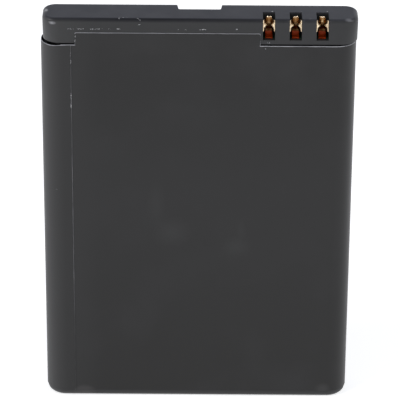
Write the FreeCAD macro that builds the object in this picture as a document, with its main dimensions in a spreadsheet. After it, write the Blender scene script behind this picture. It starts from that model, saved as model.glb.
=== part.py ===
"""Mobile phone battery: a flat lithium-ion cell in a wrapped label, with a moulded cap that holds
the protection board and its three fork contacts. Millimetres.

Frame: the battery stands on its bottom cap. Origin at the middle of the base, +X to the right
seen from the contacts' side, +Y to the plain back, +Z up the length to the contact end.
"""
import FreeCAD, Part
import math
import os
import re
import Sketcher

os.makedirs("parts", exist_ok=True)
doc = FreeCAD.newDocument("phone_battery")
Vector = FreeCAD.Vector

# Driving dimensions: name, value, meaning
SIZES = (
    ("pack_width", 41.5, "over the label, side to side"),
    ("pack_thickness", 5.6, "over the label, front to back"),
    ("pack_length", 56.6, "base to contact end"),
    ("film", 0.1, "label film"),
    ("section_corner", 2.6, "corner radius of the can's section"),
    ("corner_flat", 0.1, "least flat left between two corner rounds"),
    ("bottom_height", 1.25, "bottom cap"),
    ("bottom_rim", 0.85, "round of the bottom cap's lower rim"),
    ("core_width", 5.6, "core-out in the bottom cap"),
    ("core_pitch", 6.6, "core-out to core-out"),
    ("core_depth", 0.5, "core-out depth"),
    ("core_border", 0.7, "bottom cap's wall round the core-outs"),
    ("tape_thickness", 0.15, "tape between bottom cap and can"),
    ("tape_inset", 0.5, "tape's edge in from the section"),
    ("can_wall", 0.3, "can's side wall"),
    ("can_floor", 0.4, "can's floor"),
    ("can_heel", 0.5, "round of the can's drawn bottom edge"),
    ("lid_thickness", 0.8, "lid plate"),
    ("weld_gap", 0.02, "fit of the lid in the can"),
    ("vent_length", 5.0, "burst vent in the lid"),
    ("vent_width", 1.6, "burst vent across"),
    ("vent_depth", 0.55, "burst vent's thinned depth"),
    ("vent_place", -11.0, "vent from the middle"),
    ("fill_place", 8.0, "filling hole from the middle"),
    ("fill_radius", 0.6, "filling hole"),
    ("plug_head", 1.0, "radius of the fill plug's head"),
    ("plug_rise", 0.2, "height of the fill plug's head"),
    ("rivet_radius", 0.7, "terminal rivet's shank"),
    ("rivet_head", 1.2, "terminal rivet's head radius"),
    ("rivet_rise", 0.3, "terminal rivet's head height"),
    ("rivet_tail", 1.1, "terminal rivet's closed end radius"),
    ("gasket_wall", 0.35, "gasket sleeve"),
    ("gasket_flange", 1.45, "gasket flange radius"),
    ("gasket_rise", 0.25, "gasket flange height"),
    ("fit_gap", 0.02, "rivet, gasket and plug fits"),
    ("insulator_length", 8.0, "plate insulator under the lid"),
    ("insulator_width", 3.4, "plate insulator across"),
    ("insulator_thickness", 0.2, "plate insulator"),
    ("plate_length", 7.0, "inner terminal plate"),
    ("plate_width", 2.6, "inner terminal plate across"),
    ("plate_thickness", 0.25, "inner terminal plate"),
    ("roll_gap", 0.15, "roll to can"),
    ("head_room", 1.5, "roll's top to the lid"),
    ("spacer_thickness", 0.3, "spacer over the roll"),
    ("spacer_rise", 0.15, "spacer above the roll"),
    ("lead_width", 3.0, "roll leads"),
    ("lead_thickness", 0.1, "roll leads"),
    ("lead_reach", 2.3, "welded end of the positive lead"),
    ("lead_gap", 0.1, "negative lead's welded end to the rivet's tail"),
    ("positive_lead_place", -7.0, "positive lead from the middle"),
    ("lead_slot_gap", 0.25, "spacer's slot round a lead"),
    ("cap_height", 4.3, "contact end to the can's top"),
    ("foot_drop", 3.7, "contact end to the cap's feet"),
    ("cap_shift", 0.2, "cap sits this far to the right of the cell"),
    ("cap_corner", 1.7, "corner radius at the contact end"),
    ("foot_corner", 2.5, "corner radius at the feet"),
    ("cap_rim", 0.5, "round of the cap's rim"),
    ("cap_band", 0.3, "upright band under the cap's rim"),
    ("cap_ceiling", 0.8, "cap's end wall"),
    ("cap_ends", 1.6, "cap's wall at the two ends of the upper room"),
    ("skirt_wall", 0.3, "cap's skirt"),
    ("skirt_side_inset", 0.45, "skirt in from the feet at the sides"),
    ("skirt_face_inset", 0.35, "skirt in from the feet at front and back"),
    ("rib_width", 0.6, "board ribs"),
    ("rib_reach", 0.8, "board ribs in from the front wall"),
    ("rib_gap", 0.1, "rib to board"),
    ("rib_start", 1.1, "left rib from the board's left end"),
    ("rib_end", 1.8, "right rib's left side from the slot block"),
    ("root_depth", 0.25, "ribs and shells run this far into the wall they grow from"),
    ("slot_width", 1.6, "contact slot"),
    ("slot_pitch", 3.5, "slot to slot"),
    ("slot_inset", 4.67, "last slot's middle from the cap's right side"),
    ("slot_reach", 2.3, "slot depth from the front face"),
    ("slot_drop", 2.87, "slot depth from the contact end"),
    ("slot_wall", 0.6, "wall round the slots"),
    ("notch_width", 6.0, "latch notch at the back face"),
    ("notch_lean", 0.2, "notch's sides lean in by this towards its inner face"),
    ("notch_offset", 0.12, "notch to the right of the cap's middle"),
    ("notch_reach", 1.9, "notch depth from the back face"),
    ("notch_drop", 1.2, "notch depth from the contact end"),
    ("notch_wall", 0.5, "wall round the notch"),
    ("notch_round", 0.25, "notch's inner corners"),
    ("label_hem", 1.05, "label's lower edge above the base"),
    ("label_gap", 0.15, "label's upper edge to the cap's feet"),
    ("tab_drop", 1.95, "contact end to the label tab's edge"),
    ("tab_inset", 4.55, "label tab from the left side"),
    ("tab_margin", 0.4, "label tab to the first slot"),
    ("tab_round", 0.3, "corners of the label tab"),
    ("seam_inset", 3.9, "seam edge from the left side"),
    ("sheet_thickness", 0.1, "insulating sheet on the lid"),
    ("sheet_inset", 0.75, "insulating sheet in from the section"),
    ("sheet_start", 2.75, "insulating sheet from the can's left side"),
    ("sheet_gap", 0.15, "insulating sheet to the clad plate"),
    ("clad_length", 3.2, "clad plate"),
    ("clad_width", 2.6, "clad plate across"),
    ("clad_thickness", 0.2, "clad plate"),
    ("clad_inset", 2.4, "clad plate from the can's right side"),
    ("strip_thickness", 0.1, "nickel strips"),
    ("strip_width", 2.2, "nickel strips across"),
    ("strip_overlap", 1.3, "strip soldered over the board's end"),
    ("strip_bow", 0.3, "strip's bend past the board's end"),
    ("bend_round", 0.12, "inner bend of the strips"),
    ("board_start", 7.75, "board's left end from the cap's left side"),
    ("board_width", 4.0, "protection board across"),
    ("board_thickness", 0.6, "protection board"),
    ("board_inset", 1.95, "board's end from the cap's right side"),
    ("board_gap", 0.08, "board to the slot block above it"),
    ("board_corner", 0.4, "board's corners"),
    ("pad_gap", 0.95, "board pad to the clad plate"),
    ("pad_width", 3.4, "board pad across"),
    ("fuse_length", 4.2, "thermal cut-off"),
    ("fuse_width", 2.8, "thermal cut-off across"),
    ("fuse_height", 0.9, "thermal cut-off"),
    ("fuse_inset", 2.2, "thermal cut-off from the can's left side"),
    ("chip_along", 2.9, "protection chip, along the board"),
    ("chip_across", 1.6, "protection chip, front to back"),
    ("chip_height", 1.0, "protection chip"),
    ("mosfet_along", 4.4, "switch chip, along the board"),
    ("mosfet_across", 3.0, "switch chip, front to back"),
    ("mosfet_height", 1.0, "switch chip"),
    ("resistor_along", 0.5, "resistor, along the board"),
    ("resistor_across", 1.0, "resistor, front to back"),
    ("resistor_height", 0.35, "resistor"),
    ("capacitor_along", 0.5, "capacitor, along the board"),
    ("capacitor_across", 1.0, "capacitor, front to back"),
    ("capacitor_height", 0.5, "capacitor"),
    ("thermistor_along", 0.8, "thermistor, along the board"),
    ("thermistor_across", 1.6, "thermistor, front to back"),
    ("thermistor_height", 0.6, "thermistor"),
    ("contact_sheet", 0.15, "contact's spring sheet"),
    ("tongue_width", 0.96, "contact's back tongue"),
    ("tongue_reach", 2.08, "tongue's face from the front face, at its bend"),
    ("tongue_lean", 0.33, "tongue's tip leans this far forward of its bend"),
    ("tongue_drop", 0.25, "tongue's tip below the contact end"),
    ("tip_flat", 0.24, "flat left on the tongue's rounded tip, each side of its middle"),
    ("ramp_round", 0.8, "bend from the tongue to the solder foot"),
    ("foot_width", 1.2, "solder foot"),
    ("foot_gap", 0.15, "solder foot's end to the cap's front wall"),
    ("ear_top", 0.4, "ears' upper end below the contact end"),
    ("ear_middle", 1.15, "ears' pinch below the contact end"),
    ("ear_bottom", 2.0, "ears' lower end below the contact end"),
    ("ear_root", 0.4, "ears' root from the slot's middle"),
    ("ear_pinch", 0.25, "half the gap at the pinch"),
    ("ear_open", 0.5, "half the gap above and below the pinch"),
    ("ear_pinch_reach", 1.1, "pinch line from the front face"),
    ("lip_spread", 0.74, "lips' outer edge from the slot's middle"),
    ("lip_reach", 0.8, "lips from the front face at the pinch"),
    ("lip_setback", 0.15, "lips further in at the ears' ends"),
)

# Places worked out from the driving dimensions
PLACES = {
    "half_width": "pack_width / 2 - film",
    "half_depth": "pack_thickness / 2 - film",
    "can_corner": "min(section_corner; half_depth - corner_flat)",
    "can_base": "bottom_height + tape_thickness",
    "can_top": "pack_length - cap_height",
    "lid_base": "can_top - lid_thickness",
    "gasket_radius": "rivet_radius + fit_gap + gasket_wall",
    "gasket_top": "can_top + gasket_rise",
    "head_top": "gasket_top + rivet_rise",
    "insulator_base": "lid_base - insulator_thickness",
    "plate_base": "insulator_base - plate_thickness",
    "roll_base": "can_base + can_floor",
    "roll_top": "lid_base - head_room",
    "roll_inset": "can_wall + roll_gap",
    "negative_lead_place": "plate_length / 2",
    "foot_level": "pack_length - foot_drop",
    "slot_floor": "pack_length - slot_drop",
    "ceiling": "pack_length - cap_ceiling",
    "band_base": "pack_length - cap_rim - cap_band",
    "cap_left": "cap_shift - half_width",
    "cap_right": "cap_shift + half_width",
    "wall_depth": "half_depth - skirt_face_inset - skirt_wall",
    "room_left": "cap_left + skirt_side_inset + skirt_wall",
    "room_right": "cap_right - skirt_side_inset - skirt_wall",
    "room_corner": "max(can_corner - skirt_side_inset - skirt_wall; corner_flat)",
    "last_slot": "cap_right - slot_inset",
    "middle_slot": "last_slot - slot_pitch",
    "first_slot": "middle_slot - slot_pitch",
    "slot_back": "slot_reach - half_depth",
    "block_left": "first_slot - slot_width / 2 - slot_wall",
    "block_right": "last_slot + slot_width / 2 + slot_wall",
    "block_back": "slot_back + slot_wall",
    "notch_middle": "cap_shift + notch_offset",
    "notch_left": "notch_middle - notch_width / 2",
    "notch_right": "notch_middle + notch_width / 2",
    "notch_floor": "pack_length - notch_drop",
    "notch_front": "half_depth - notch_reach",
    "label_top": "foot_level - label_gap",
    "label_outer": "pack_thickness / 2",
    "tab_top": "pack_length - tab_drop",
    "tab_left": "tab_inset - pack_width / 2",
    "tab_right": "first_slot - slot_width / 2 - tab_margin",
    "seam_edge": "seam_inset - pack_width / 2",
    "corner_middle": "can_corner - half_width",
    "corner_depth": "can_corner - half_depth",
    "film_middle": "can_corner + film / 2",
    "film_outer": "can_corner + film",
    "tent_along": "film_outer / (film_outer + film)",
    "tent_across": "sqrt(1 - tent_along * tent_along)",
    "sheet_top": "can_top + sheet_thickness",
    "clad_right": "half_width - clad_inset",
    "clad_left": "clad_right - clad_length",
    "clad_top": "can_top + clad_thickness",
    "pad_left": "fill_place + plug_head + strip_bow",
    "pad_right": "clad_left - pad_gap",
    "board_top": "slot_floor - board_gap",
    "board_base": "board_top - board_thickness",
    "board_right": "cap_right - board_inset",
    "board_left": "cap_left + board_start",
    "parts_left": "board_left + strip_overlap",
    "fuse_left": "fuse_inset - half_width",
    "fuse_right": "fuse_left + fuse_length",
    "fuse_base": "head_top + strip_thickness",
    "fuse_top": "fuse_base + fuse_height",
}

# Components on the board from left to right: name, kind
BOARD_PARTS = (
    ("protection_chip", "chip"), ("mosfet_chip", "mosfet"),
    ("resistor_1", "resistor"), ("resistor_2", "resistor"), ("resistor_3", "resistor"),
    ("capacitor_1", "capacitor"), ("capacitor_2", "capacitor"), ("thermistor", "thermistor"),
)
CORE_COUNT = 5
SLOT_COUNT = 3
TOUCH = 1e-4

sheet = doc.addObject("Spreadsheet::Sheet", "Sizes")
for line, (alias, value, meaning) in enumerate(SIZES, start=1):
    sheet.set(f"A{line}", meaning)
    sheet.set(f"B{line}", str(value))
    sheet.setAlias(f"B{line}", alias)
doc.recompute()
ALIASES = {size[0] for size in SIZES}
bodies = []


def bind(text):
    """Spell an expression out in the sheet's cells, derived places included."""
    def spelled(match):
        word = match.group(0)
        if word in PLACES:
            return "(" + bind(PLACES[word]) + ")"
        return "Sizes." + word if word in ALIASES else word
    return re.sub(r"[a-z][a-z_]*", spelled, str(text))


def number(text):
    return float(sheet.evalExpression(bind(text)))


def new_body(name):
    body = doc.addObject("PartDesign::Body", name)
    body.Label = name
    bodies.append(body)
    return body


def new_sketch(body, name, role="XY_Plane", offset="0"):
    """A sketch on one of the body's own planes, moved along its normal by the offset."""
    sketch = body.newObject("Sketcher::SketchObject", f"{body.Name}_{name}")
    plane = next(item for item in body.Origin.OriginFeatures if item.Role == role)
    sketch.AttachmentSupport = [(plane, "")]
    sketch.MapMode = "FlatFace"
    sketch.setExpression("AttachmentOffset.Base.z", bind(offset))
    return sketch


def hold(sketch, kind, geometry, text):
    """Add a constraint whose value follows an expression."""
    place = sketch.addConstraint(Sketcher.Constraint(kind, *geometry, number(text)))
    sketch.setExpression(f"Constraints[{place}]", bind(text))


def draw_outline(sketch, corners):
    """A closed outline. A corner is (u, v), or (u, v, radius, turn) where an arc starts there,
    with turn +1 for an arc that runs anticlockwise and -1 for one that runs clockwise."""
    ends = []
    spots = [Vector(number(corner[0]), number(corner[1]), 0) for corner in corners]
    for place, corner in enumerate(corners):
        start = spots[place]
        end = spots[(place + 1) % len(corners)]
        if len(corner) == 2:
            line = sketch.addGeometry(Part.LineSegment(start, end))
            ends.append((line, 1, 2))
            continue
        radius, turn = number(corner[2]), corner[3]
        chord = end - start
        rise = math.sqrt(max(radius ** 2 - (chord.Length / 2) ** 2, 0))
        side = Vector(-chord.y, chord.x, 0).normalize() * turn
        centre = (start + end) / 2 + side * rise
        first, last = (start, end) if turn > 0 else (end, start)
        angles = [math.atan2(spot.y - centre.y, spot.x - centre.x) for spot in (first, last)]
        circle = Part.Circle(centre, Vector(0, 0, 1), radius)
        arc = sketch.addGeometry(Part.ArcOfCircle(circle, angles[0], angles[1]))
        ends.append((arc, 1, 2) if turn > 0 else (arc, 2, 1))
    for place, corner in enumerate(corners):
        geometry, first, last = ends[place]
        following, following_first, following_last = ends[(place + 1) % len(corners)]
        joint = ("Coincident", geometry, last, following, following_first)
        sketch.addConstraint(Sketcher.Constraint(*joint))
        hold(sketch, "DistanceX", (-1, 1, geometry, first), corner[0])
        hold(sketch, "DistanceY", (-1, 1, geometry, first), corner[1])
        if len(corner) == 4:
            hold(sketch, "Radius", (geometry,), corner[2])


def draw_rectangle(sketch, left, right, front, back):
    draw_outline(sketch, ((left, front), (right, front), (right, back), (left, back)))


def draw_rounded(sketch, left, right, front, back, radius):
    """A rectangle with four corner arcs of one radius."""
    inner_left, inner_right = f"{left} + ({radius})", f"{right} - ({radius})"
    inner_front, inner_back = f"{front} + ({radius})", f"{back} - ({radius})"
    draw_outline(sketch, (
        (inner_left, front), (inner_right, front, radius, 1),
        (right, inner_front), (right, inner_back, radius, 1),
        (inner_right, back), (inner_left, back, radius, 1),
        (left, inner_back), (left, inner_front, radius, 1)))


def draw_section(sketch, inset, radius, shift="0"):
    """The can's rounded section, in from the can's own outline by the inset."""
    draw_rounded(sketch, f"{shift} - half_width + ({inset})", f"{shift} + half_width - ({inset})",
                 f"({inset}) - half_depth", f"half_depth - ({inset})", radius)


def draw_circle(sketch, place, radius):
    circle = Part.Circle(Vector(number(place), 0, 0), Vector(0, 0, 1), number(radius))
    geometry = sketch.addGeometry(circle)
    hold(sketch, "DistanceX", (-1, 1, geometry, 3), place)
    hold(sketch, "DistanceY", (-1, 1, geometry, 3), "0")
    hold(sketch, "Radius", (geometry,), radius)


def pad(body, sketch, length):
    feature = body.newObject("PartDesign::Pad", f"{sketch.Name}_pad")
    feature.Profile = sketch
    feature.setExpression("Length", bind(length))
    sketch.Visibility = False
    return feature


def pocket(body, sketch, length):
    """Cut along the sketch's normal."""
    doc.recompute()
    before = body.Shape.Volume
    feature = body.newObject("PartDesign::Pocket", f"{sketch.Name}_cut")
    feature.Profile = sketch
    feature.Reversed = True
    feature.setExpression("Length", bind(length))
    doc.recompute()
    if body.Shape.Volume >= before:
        raise RuntimeError(f"{feature.Name} removes nothing")
    return feature


def edges_at(shape, level):
    """Names of the edges that lie wholly at one height."""
    names = []
    for place, edge in enumerate(shape.Edges, start=1):
        box = edge.BoundBox
        if abs(box.ZMin - level) < TOUCH and abs(box.ZMax - level) < TOUCH:
            names.append(f"Edge{place}")
    return names


def round_edges(body, names, radius):
    base = body.Tip
    feature = body.newObject("PartDesign::Fillet", f"{body.Name}_round_{len(body.Group)}")
    feature.Base = (base, names)
    feature.setExpression("Radius", bind(radius))
    return feature


def repeat_across(body, feature, sketch, span, count):
    """A row of equal features along X."""
    row = body.newObject("PartDesign::LinearPattern", f"{feature.Name}_row")
    row.Originals = [feature]
    row.Direction = (sketch, ["H_Axis"])
    row.setExpression("Length", bind(span))
    row.Occurrences = count
    body.Tip = row
    return row


def block(name, left, right, front, back, base, top):
    """A plain rectangular piece."""
    body = new_body(name)
    sketch = new_sketch(body, "outline", offset=base)
    draw_rectangle(sketch, left, right, front, back)
    pad(body, sketch, f"({top}) - ({base})")
    return body


def strip(name, corners, width):
    """A bent sheet-metal strip: its side view in X and Z, as wide across as stated."""
    body = new_body(name)
    sketch = new_sketch(body, "side", role="XZ_Plane", offset=f"-({width}) / 2")
    draw_outline(sketch, corners)
    pad(body, sketch, width)
    return body


def revolved(name, corners, place):
    """A turned piece on an upright axis: its half profile in radius and height."""
    body = new_body(name)
    sketch = new_sketch(body, "profile", role="XZ_Plane")
    draw_outline(sketch, corners)
    feature = body.newObject("PartDesign::Revolution", f"{name}_turn")
    feature.Profile = sketch
    feature.ReferenceAxis = (sketch, ["V_Axis"])
    feature.Angle = 360
    body.setExpression("Placement.Base.x", bind(place))
    return body


def make_bottom_cap():
    """Moulded strip with a rounded lower rim and a row of core-outs on its hidden side."""
    body = new_body("bottom_cap")
    outline = new_sketch(body, "outline")
    draw_section(outline, "0", "can_corner")
    pad(body, outline, "bottom_height")
    doc.recompute()
    rim = edges_at(body.Shape, 0)
    round_edges(body, rim, "min(bottom_rim; bottom_height - corner_flat)")
    core = new_sketch(body, "core", offset="bottom_height - core_depth")
    span = f"core_pitch * {CORE_COUNT - 1}"
    draw_rectangle(core, f"-{span} / 2 - core_width / 2", f"-{span} / 2 + core_width / 2",
                   "core_border - half_depth", "half_depth - core_border")
    cut = pocket(body, core, "core_depth + film")
    repeat_across(body, cut, core, span, CORE_COUNT)


def make_bottom_tape():
    body = new_body("bottom_tape")
    outline = new_sketch(body, "outline", offset="bottom_height")
    draw_section(outline, "tape_inset", "can_corner - tape_inset")
    pad(body, outline, "tape_thickness")


def make_cell_can():
    """Deep-drawn can, open at the top."""
    body = new_body("cell_can")
    outline = new_sketch(body, "outline", offset="can_base")
    draw_section(outline, "0", "can_corner")
    pad(body, outline, "can_top - can_base")
    doc.recompute()
    round_edges(body, edges_at(body.Shape, number("can_base")), "can_heel")
    inside = new_sketch(body, "inside", offset="roll_base")
    draw_section(inside, "can_wall", "can_corner - can_wall")
    pocket(body, inside, "can_top - roll_base + film")


def make_cell_lid():
    """Lid with the terminal's hole, the filling hole and a thinned burst vent."""
    body = new_body("cell_lid")
    outline = new_sketch(body, "outline", offset="lid_base")
    draw_section(outline, "can_wall + weld_gap", "can_corner - can_wall - weld_gap")
    pad(body, outline, "lid_thickness")
    terminal = new_sketch(body, "terminal_hole", offset="lid_base - film")
    draw_circle(terminal, "0", "gasket_radius + fit_gap")
    pocket(body, terminal, "lid_thickness + film * 2")
    filling = new_sketch(body, "filling_hole", offset="lid_base - film")
    draw_circle(filling, "fill_place", "fill_radius")
    pocket(body, filling, "lid_thickness + film * 2")
    vent = new_sketch(body, "vent", offset="can_top - vent_depth")
    draw_rounded(vent, "vent_place - vent_length / 2", "vent_place + vent_length / 2",
                 "-vent_width / 2", "vent_width / 2", "vent_width / 2 - corner_flat")
    pocket(body, vent, "vent_depth + film")


def make_terminal():
    """Rivet through a plastic gasket, closed over a plate under the lid."""
    sleeve_base = "insulator_base"
    revolved("terminal_gasket", (
        ("rivet_radius + fit_gap", sleeve_base), ("gasket_radius", sleeve_base),
        ("gasket_radius", "can_top"), ("gasket_flange", "can_top"),
        ("gasket_flange", "gasket_top"), ("rivet_radius + fit_gap", "gasket_top")), "0")
    tail_base = "plate_base - insulator_thickness"
    revolved("negative_terminal", (
        ("0", tail_base), ("rivet_tail", tail_base), ("rivet_tail", "plate_base"),
        ("rivet_radius", "plate_base"), ("rivet_radius", "gasket_top"),
        ("rivet_head", "gasket_top"), ("rivet_head", "head_top"), ("0", "head_top")), "0")
    revolved("fill_plug", (
        ("0", "lid_base"), ("fill_radius - fit_gap", "lid_base"),
        ("fill_radius - fit_gap", "can_top"), ("plug_head", "can_top"),
        ("plug_head - plug_rise", "can_top + plug_rise"), ("0", "can_top + plug_rise")),
        "fill_place")
    for name, length, width, base, top, hole in (
            ("plate_insulator", "insulator_length", "insulator_width",
             "insulator_base", "lid_base", "gasket_radius + fit_gap"),
            ("terminal_plate", "plate_length", "plate_width",
             "plate_base", "insulator_base", "rivet_radius + fit_gap")):
        body = block(name, f"-{length} / 2", f"{length} / 2", f"-{width} / 2", f"{width} / 2",
                     base, top)
        opening = new_sketch(body, "hole", offset=f"{base} - film")
        draw_circle(opening, "0", hole)
        pocket(body, opening, f"({top}) - ({base}) + film * 2")


def make_electrode_roll():
    """Flattened roll: its turns are one solid. A spacer and two leads stand over it."""
    body = new_body("electrode_roll")
    outline = new_sketch(body, "outline", offset="roll_base")
    draw_section(outline, "roll_inset", "can_corner - roll_inset")
    pad(body, outline, "roll_top - roll_base")

    spacer = new_body("roll_insulator")
    outline = new_sketch(spacer, "outline", offset="roll_top + spacer_rise")
    draw_section(outline, "roll_inset", "can_corner - roll_inset")
    pad(spacer, outline, "spacer_thickness")
    for name, place in (("positive", "positive_lead_place"), ("negative", "negative_lead_place")):
        opening = new_sketch(spacer, f"{name}_slot", offset="roll_top + spacer_rise - film")
        draw_rectangle(opening, f"{place} - lead_slot_gap",
                       f"{place} + lead_thickness + lead_slot_gap",
                       "-lead_width / 2 - lead_slot_gap", "lead_width / 2 + lead_slot_gap")
        pocket(spacer, opening, "spacer_thickness + film * 2")

    for name, place, weld, tip in (
            ("roll_positive_lead", "positive_lead_place", "lid_base",
             "positive_lead_place - lead_reach"),
            ("roll_negative_lead", "negative_lead_place", "plate_base",
             "rivet_tail + lead_gap")):
        end = f"{place} + lead_thickness"
        strip(name, (
            (place, "roll_top"), (end, "roll_top"), (end, weld), (tip, weld),
            (tip, f"{weld} - lead_thickness"), (place, f"{weld} - lead_thickness")),
            "lead_width")


def make_strips():
    """Insulating sheet, clad plate and the nickel strips from the cell to the board."""
    body = new_body("lid_insulator")
    outline = new_sketch(body, "outline", offset="can_top")
    draw_rounded(outline, "sheet_start - half_width", "clad_left - sheet_gap",
                 "sheet_inset - half_depth", "half_depth - sheet_inset", "board_corner")
    pad(body, outline, "sheet_thickness")
    for name, place, radius in (("terminal", "0", "gasket_flange + film"),
                                ("plug", "fill_place", "plug_head + film")):
        opening = new_sketch(body, f"{name}_hole", offset="can_top - film")
        draw_circle(opening, place, radius)
        pocket(body, opening, "sheet_thickness + film * 2")

    block("clad_plate", "clad_left", "clad_right", "-clad_width / 2", "clad_width / 2",
          "can_top", "clad_top")
    outer = "board_right + strip_bow + strip_thickness"
    inner = "board_right + strip_bow"
    under, over = "clad_top + strip_thickness", "board_top + strip_thickness"
    big, small = "bend_round + strip_thickness", "bend_round"
    strip("positive_strip", (
        ("clad_left", "clad_top"), (f"{inner} - {small}", "clad_top", big, 1),
        (outer, f"{under} + {small}"), (outer, f"board_top - {small}", big, 1),
        (f"{inner} - {small}", over), ("board_right - strip_overlap", over),
        ("board_right - strip_overlap", "board_top"),
        (f"{inner} - {small}", "board_top", small, -1),
        (inner, f"board_top - {small}"), (inner, f"{under} + {small}", small, -1),
        (f"{inner} - {small}", under), ("clad_left", under)), "strip_width")

    block("negative_strip", "fuse_left", "rivet_head", "-strip_width / 2", "strip_width / 2",
          "head_top", "fuse_base")
    block("thermal_fuse", "fuse_left", "fuse_right", "-fuse_width / 2", "fuse_width / 2",
          "fuse_base", "fuse_top")
    step = "board_left - strip_bow - strip_thickness"
    strip("fuse_strip", (
        ("fuse_left + strip_bow", "fuse_top"), (step, "fuse_top"), (step, "board_top"),
        ("board_left + strip_overlap", "board_top"), ("board_left + strip_overlap", over),
        (f"{step} + strip_thickness", over),
        (f"{step} + strip_thickness", "fuse_top + strip_thickness"),
        ("fuse_left + strip_bow", "fuse_top + strip_thickness")), "strip_width")
    block("strip_pad", "fuse_left", "-gasket_flange - strip_bow", "-strip_width / 2",
          "strip_width / 2", "sheet_top", "head_top")


def make_board():
    """Protection board on its foam pad, with the chips and small components on top."""
    block("board_pad", "pad_left", "pad_right", "-pad_width / 2", "pad_width / 2",
          "sheet_top", "board_base")
    body = new_body("circuit_board")
    outline = new_sketch(body, "outline", offset="board_base")
    draw_rounded(outline, "board_left", "board_right", "-board_width / 2", "board_width / 2",
                 "board_corner")
    pad(body, outline, "board_thickness")
    lengths = [f"{kind}_along" for name, kind in BOARD_PARTS]
    space = f"(block_left - parts_left - {' - '.join(lengths)}) / {len(BOARD_PARTS) + 1}"
    for place, (name, kind) in enumerate(BOARD_PARTS, start=1):
        left = " + ".join(["parts_left", f"{space} * {place}"] + lengths[:place - 1])
        block(name, left, f"{left} + {kind}_along", f"-{kind}_across / 2", f"{kind}_across / 2",
              "board_top", f"board_top + {kind}_height")


def make_contact(name, place):
    """Fork contact: a rounded back tongue that leans forward, bent forward at its foot too, with
    two sprung ears that pinch the phone's blade and flare into lead-in lips."""
    body = new_body(name)
    face = "tongue_reach - half_depth"
    back = f"{face} + contact_sheet"
    front = "foot_gap - wall_depth"
    tip = "pack_length - tongue_drop"
    bend = "board_top + contact_sheet + ramp_round"
    side = new_sketch(body, "side", role="YZ_Plane", offset="-tongue_width / 2")
    draw_outline(side, (
        (f"{face} - tongue_lean", tip), (face, bend, "ramp_round", -1),
        (f"{face} - ramp_round", "board_top + contact_sheet"),
        (front, "board_top + contact_sheet"), (front, "board_top"),
        (f"{face} - ramp_round", "board_top", "ramp_round + contact_sheet", 1),
        (back, bend), (f"{back} - tongue_lean", tip)))
    pad(body, side, "tongue_width")
    doc.recompute()
    along = [name for name in edges_at(body.Shape, number(tip))
             if body.Shape.getElement(name).BoundBox.XLength < TOUCH]
    round_edges(body, along, "tongue_width / 2 - tip_flat")
    foot = new_sketch(body, "foot", offset="board_top")
    draw_rectangle(foot, "-foot_width / 2", "foot_width / 2", front, f"{face} - ramp_round")
    pad(body, foot, "contact_sheet")

    sections = []
    for level, gap, setback in (("ear_bottom", "ear_open", "lip_setback"),
                                ("ear_middle", "ear_pinch", "0"),
                                ("ear_top", "ear_open", "lip_setback")):
        section = new_sketch(body, level, offset=f"pack_length - {level}")
        rise = f"(pack_length - {level} - ({bend})) / ({tip} - ({bend}))"
        root = f"{face} + contact_sheet / 2 - tongue_lean * {rise}"
        pinch = "ear_pinch_reach - half_depth"
        lip = f"lip_reach + {setback} - half_depth"
        draw_outline(section, (
            ("ear_root - contact_sheet", root), (gap, pinch),
            ("lip_spread - contact_sheet", lip), ("lip_spread", lip),
            (f"{gap} + contact_sheet", pinch), ("ear_root", root)))
        sections.append(section)
    ear = body.newObject("PartDesign::AdditiveLoft", f"{name}_ear")
    ear.Profile = sections[0]
    ear.Sections = sections[1:]
    pair = body.newObject("PartDesign::Mirrored", f"{name}_ears")
    pair.Originals = [ear]
    pair.MirrorPlane = (sections[0], ["V_Axis"])
    body.Tip = pair
    body.setExpression("Placement.Base.x", bind(place))


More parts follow.
